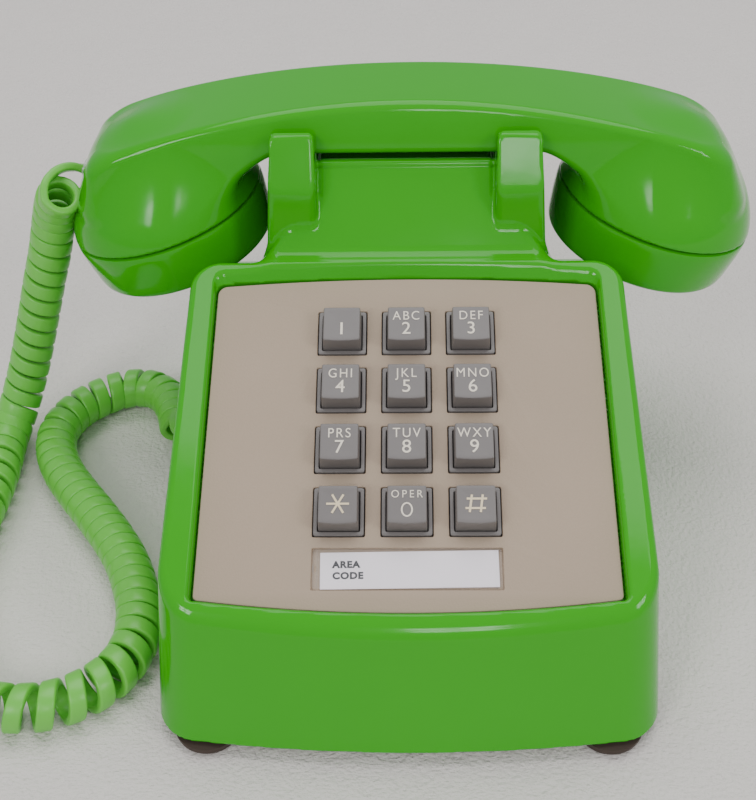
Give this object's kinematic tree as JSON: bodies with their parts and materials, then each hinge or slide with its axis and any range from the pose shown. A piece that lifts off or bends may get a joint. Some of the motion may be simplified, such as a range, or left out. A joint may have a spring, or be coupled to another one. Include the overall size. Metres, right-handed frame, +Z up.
{
  "type": "push-button desk telephone",
  "caption": "Wedge-shaped push-button desk telephone with a lift-off handset lying across a pronged cradle, a sloping keypad faceplate and a coiled handset cord.",
  "frame": {"origin": "on the table, in the middle of the telephone's box without its cord", "axes": "+X to the user's right along the handset, +Y towards the back, +Z up"},
  "size_m": [0.2644, 0.2044, 0.133],
  "materials": {
    "green_shell": "polished moulded ABS, lime green",
    "faceplate_taupe": "satin taupe plastic",
    "key_grey": "satin warm grey moulded plastic",
    "rubber_foot": "dull brown rubber",
    "base_steel": "zinc plated sheet steel",
    "spring_steel": "thin spring sheet",
    "card_paper": "white paper card",
    "clear_window": "clear plastic window",
    "clear_plug": "clear moulded polycarbonate",
    "circuit_board": "brown laminate board",
    "black_moulding": "dark moulded plastic",
    "gong_brass": "plated gong",
    "coil_winding": "lacquered copper winding",
    "capsule_metal": "stamped capsule",
    "green_cord": "satin vinyl cord jacket"
  },
  "bodies": {
    "root": {"housing": "green_shell", "faceplate": "faceplate_taupe", "keypad_frame": "key_grey", "foot_front_left": "rubber_foot", "foot_front_right": "rubber_foot", "foot_rear_left": "rubber_foot", "foot_rear_right": "rubber_foot", "baseplate": "base_steel", "housing_screw_left": "base_steel", "housing_screw_right": "base_steel", "switch_bracket": "base_steel", "lever_pin": "base_steel", "ringer_frame": "base_steel", "gong_screw_left": "base_steel", "gong_screw_right": "base_steel", "clapper_post": "base_steel", "wheel_bracket": "base_steel", "key_spring_sheet": "spring_steel", "number_card": "card_paper", "card_window": "clear_window", "cord_plug_base": "clear_plug", "contact_board": "circuit_board", "tone_unit": "black_moulding", "contact_pile": "black_moulding", "network_block": "black_moulding", "base_cord_socket": "black_moulding", "line_socket": "black_moulding", "gong_left": "gong_brass", "gong_right": "gong_brass", "ringer_coil": "coil_winding", "cord_coil": "green_cord", "cord_tail_base": "green_cord"},
    "handset": {"handset_shell": "green_shell", "transmitter_cap": "green_shell", "receiver_cap": "green_shell", "transmitter": "capsule_metal", "transmitter_cup": "black_moulding", "receiver": "capsule_metal", "handset_socket": "black_moulding", "cord_plug_handset": "clear_plug", "cord_tail_handset": "green_cord"},
    "plunger_left": {"hook_plunger_left": "clear_plug"},
    "plunger_right": {"hook_plunger_right": "clear_plug"},
    "line_switch": {"switch_lever": "base_steel"},
    "clapper": {"clapper": "base_steel"},
    "volume_wheel": {"volume_wheel": "black_moulding"},
    "key_1": {"key_1": "key_grey"},
    "key_2": {"key_2": "key_grey"},
    "key_3": {"key_3": "key_grey"},
    "key_4": {"key_4": "key_grey"},
    "key_5": {"key_5": "key_grey"},
    "key_6": {"key_6": "key_grey"},
    "key_7": {"key_7": "key_grey"},
    "key_8": {"key_8": "key_grey"},
    "key_9": {"key_9": "key_grey"},
    "key_star": {"key_star": "key_grey"},
    "key_0": {"key_0": "key_grey"},
    "key_hash": {"key_hash": "key_grey"}
  },
  "joints": [
    {"name": "handset_lift", "type": "slide", "parent": "root", "child": "handset", "axis": [0, 0, 1], "range_m": [0, 0.09], "deforming": ["cord_coil"]},
    {"name": "plunger_left_travel", "type": "slide", "parent": "root", "child": "plunger_left", "axis": [0, 0, 1], "range_m": [0, 0.007]},
    {"name": "plunger_right_travel", "type": "slide", "parent": "root", "child": "plunger_right", "axis": [0, 0, 1], "range_m": [0, 0.007]},
    {"name": "line_switch_swing", "type": "hinge", "parent": "root", "child": "line_switch", "pos_m": [0, 0.02, 0.074], "axis": [1, 0, 0], "range_deg": [0, 12]},
    {"name": "key_1_press", "type": "slide", "parent": "root", "child": "key_1", "axis": [0, -0.4258, 0.9048], "range_m": [-0.003, 0], "stiffness_N_per_m": 300, "springref_m": 0.002},
    {"name": "key_2_press", "type": "slide", "parent": "root", "child": "key_2", "axis": [0, -0.4258, 0.9048], "range_m": [-0.003, 0], "stiffness_N_per_m": 300, "springref_m": 0.002},
    {"name": "key_3_press", "type": "slide", "parent": "root", "child": "key_3", "axis": [0, -0.4258, 0.9048], "range_m": [-0.003, 0], "stiffness_N_per_m": 300, "springref_m": 0.002},
    {"name": "key_4_press", "type": "slide", "parent": "root", "child": "key_4", "axis": [0, -0.4258, 0.9048], "range_m": [-0.003, 0], "stiffness_N_per_m": 300, "springref_m": 0.002},
    {"name": "key_5_press", "type": "slide", "parent": "root", "child": "key_5", "axis": [0, -0.4258, 0.9048], "range_m": [-0.003, 0], "stiffness_N_per_m": 300, "springref_m": 0.002},
    {"name": "key_6_press", "type": "slide", "parent": "root", "child": "key_6", "axis": [0, -0.4258, 0.9048], "range_m": [-0.003, 0], "stiffness_N_per_m": 300, "springref_m": 0.002},
    {"name": "key_7_press", "type": "slide", "parent": "root", "child": "key_7", "axis": [0, -0.4258, 0.9048], "range_m": [-0.003, 0], "stiffness_N_per_m": 300, "springref_m": 0.002},
    {"name": "key_8_press", "type": "slide", "parent": "root", "child": "key_8", "axis": [0, -0.4258, 0.9048], "range_m": [-0.003, 0], "stiffness_N_per_m": 300, "springref_m": 0.002},
    {"name": "key_9_press", "type": "slide", "parent": "root", "child": "key_9", "axis": [0, -0.4258, 0.9048], "range_m": [-0.003, 0], "stiffness_N_per_m": 300, "springref_m": 0.002},
    {"name": "key_star_press", "type": "slide", "parent": "root", "child": "key_star", "axis": [0, -0.4258, 0.9048], "range_m": [-0.003, 0], "stiffness_N_per_m": 300, "springref_m": 0.002},
    {"name": "key_0_press", "type": "slide", "parent": "root", "child": "key_0", "axis": [0, -0.4258, 0.9048], "range_m": [-0.003, 0], "stiffness_N_per_m": 300, "springref_m": 0.002},
    {"name": "key_hash_press", "type": "slide", "parent": "root", "child": "key_hash", "axis": [0, -0.4258, 0.9048], "range_m": [-0.003, 0], "stiffness_N_per_m": 300, "springref_m": 0.002},
    {"name": "clapper_swing", "type": "hinge", "parent": "root", "child": "clapper", "pos_m": [0, 0.024, 0.018], "axis": [0, 0, 1], "range_deg": [-5, 5], "stiffness_Nm_per_rad": 0.004},
    {"name": "volume_wheel_turn", "type": "hinge", "parent": "root", "child": "volume_wheel", "pos_m": [0.056, -0.034, 0.013], "axis": [1, 0, 0], "range_deg": [0, 90]}
  ],
  "couplings": [
    {"joint": "plunger_left_travel", "follows": "handset_lift", "ratio": 0.0777},
    {"joint": "plunger_right_travel", "follows": "handset_lift", "ratio": 0.0777},
    {"joint": "line_switch_swing", "follows": "handset_lift", "rad_per_m": 2.25}
  ]
}
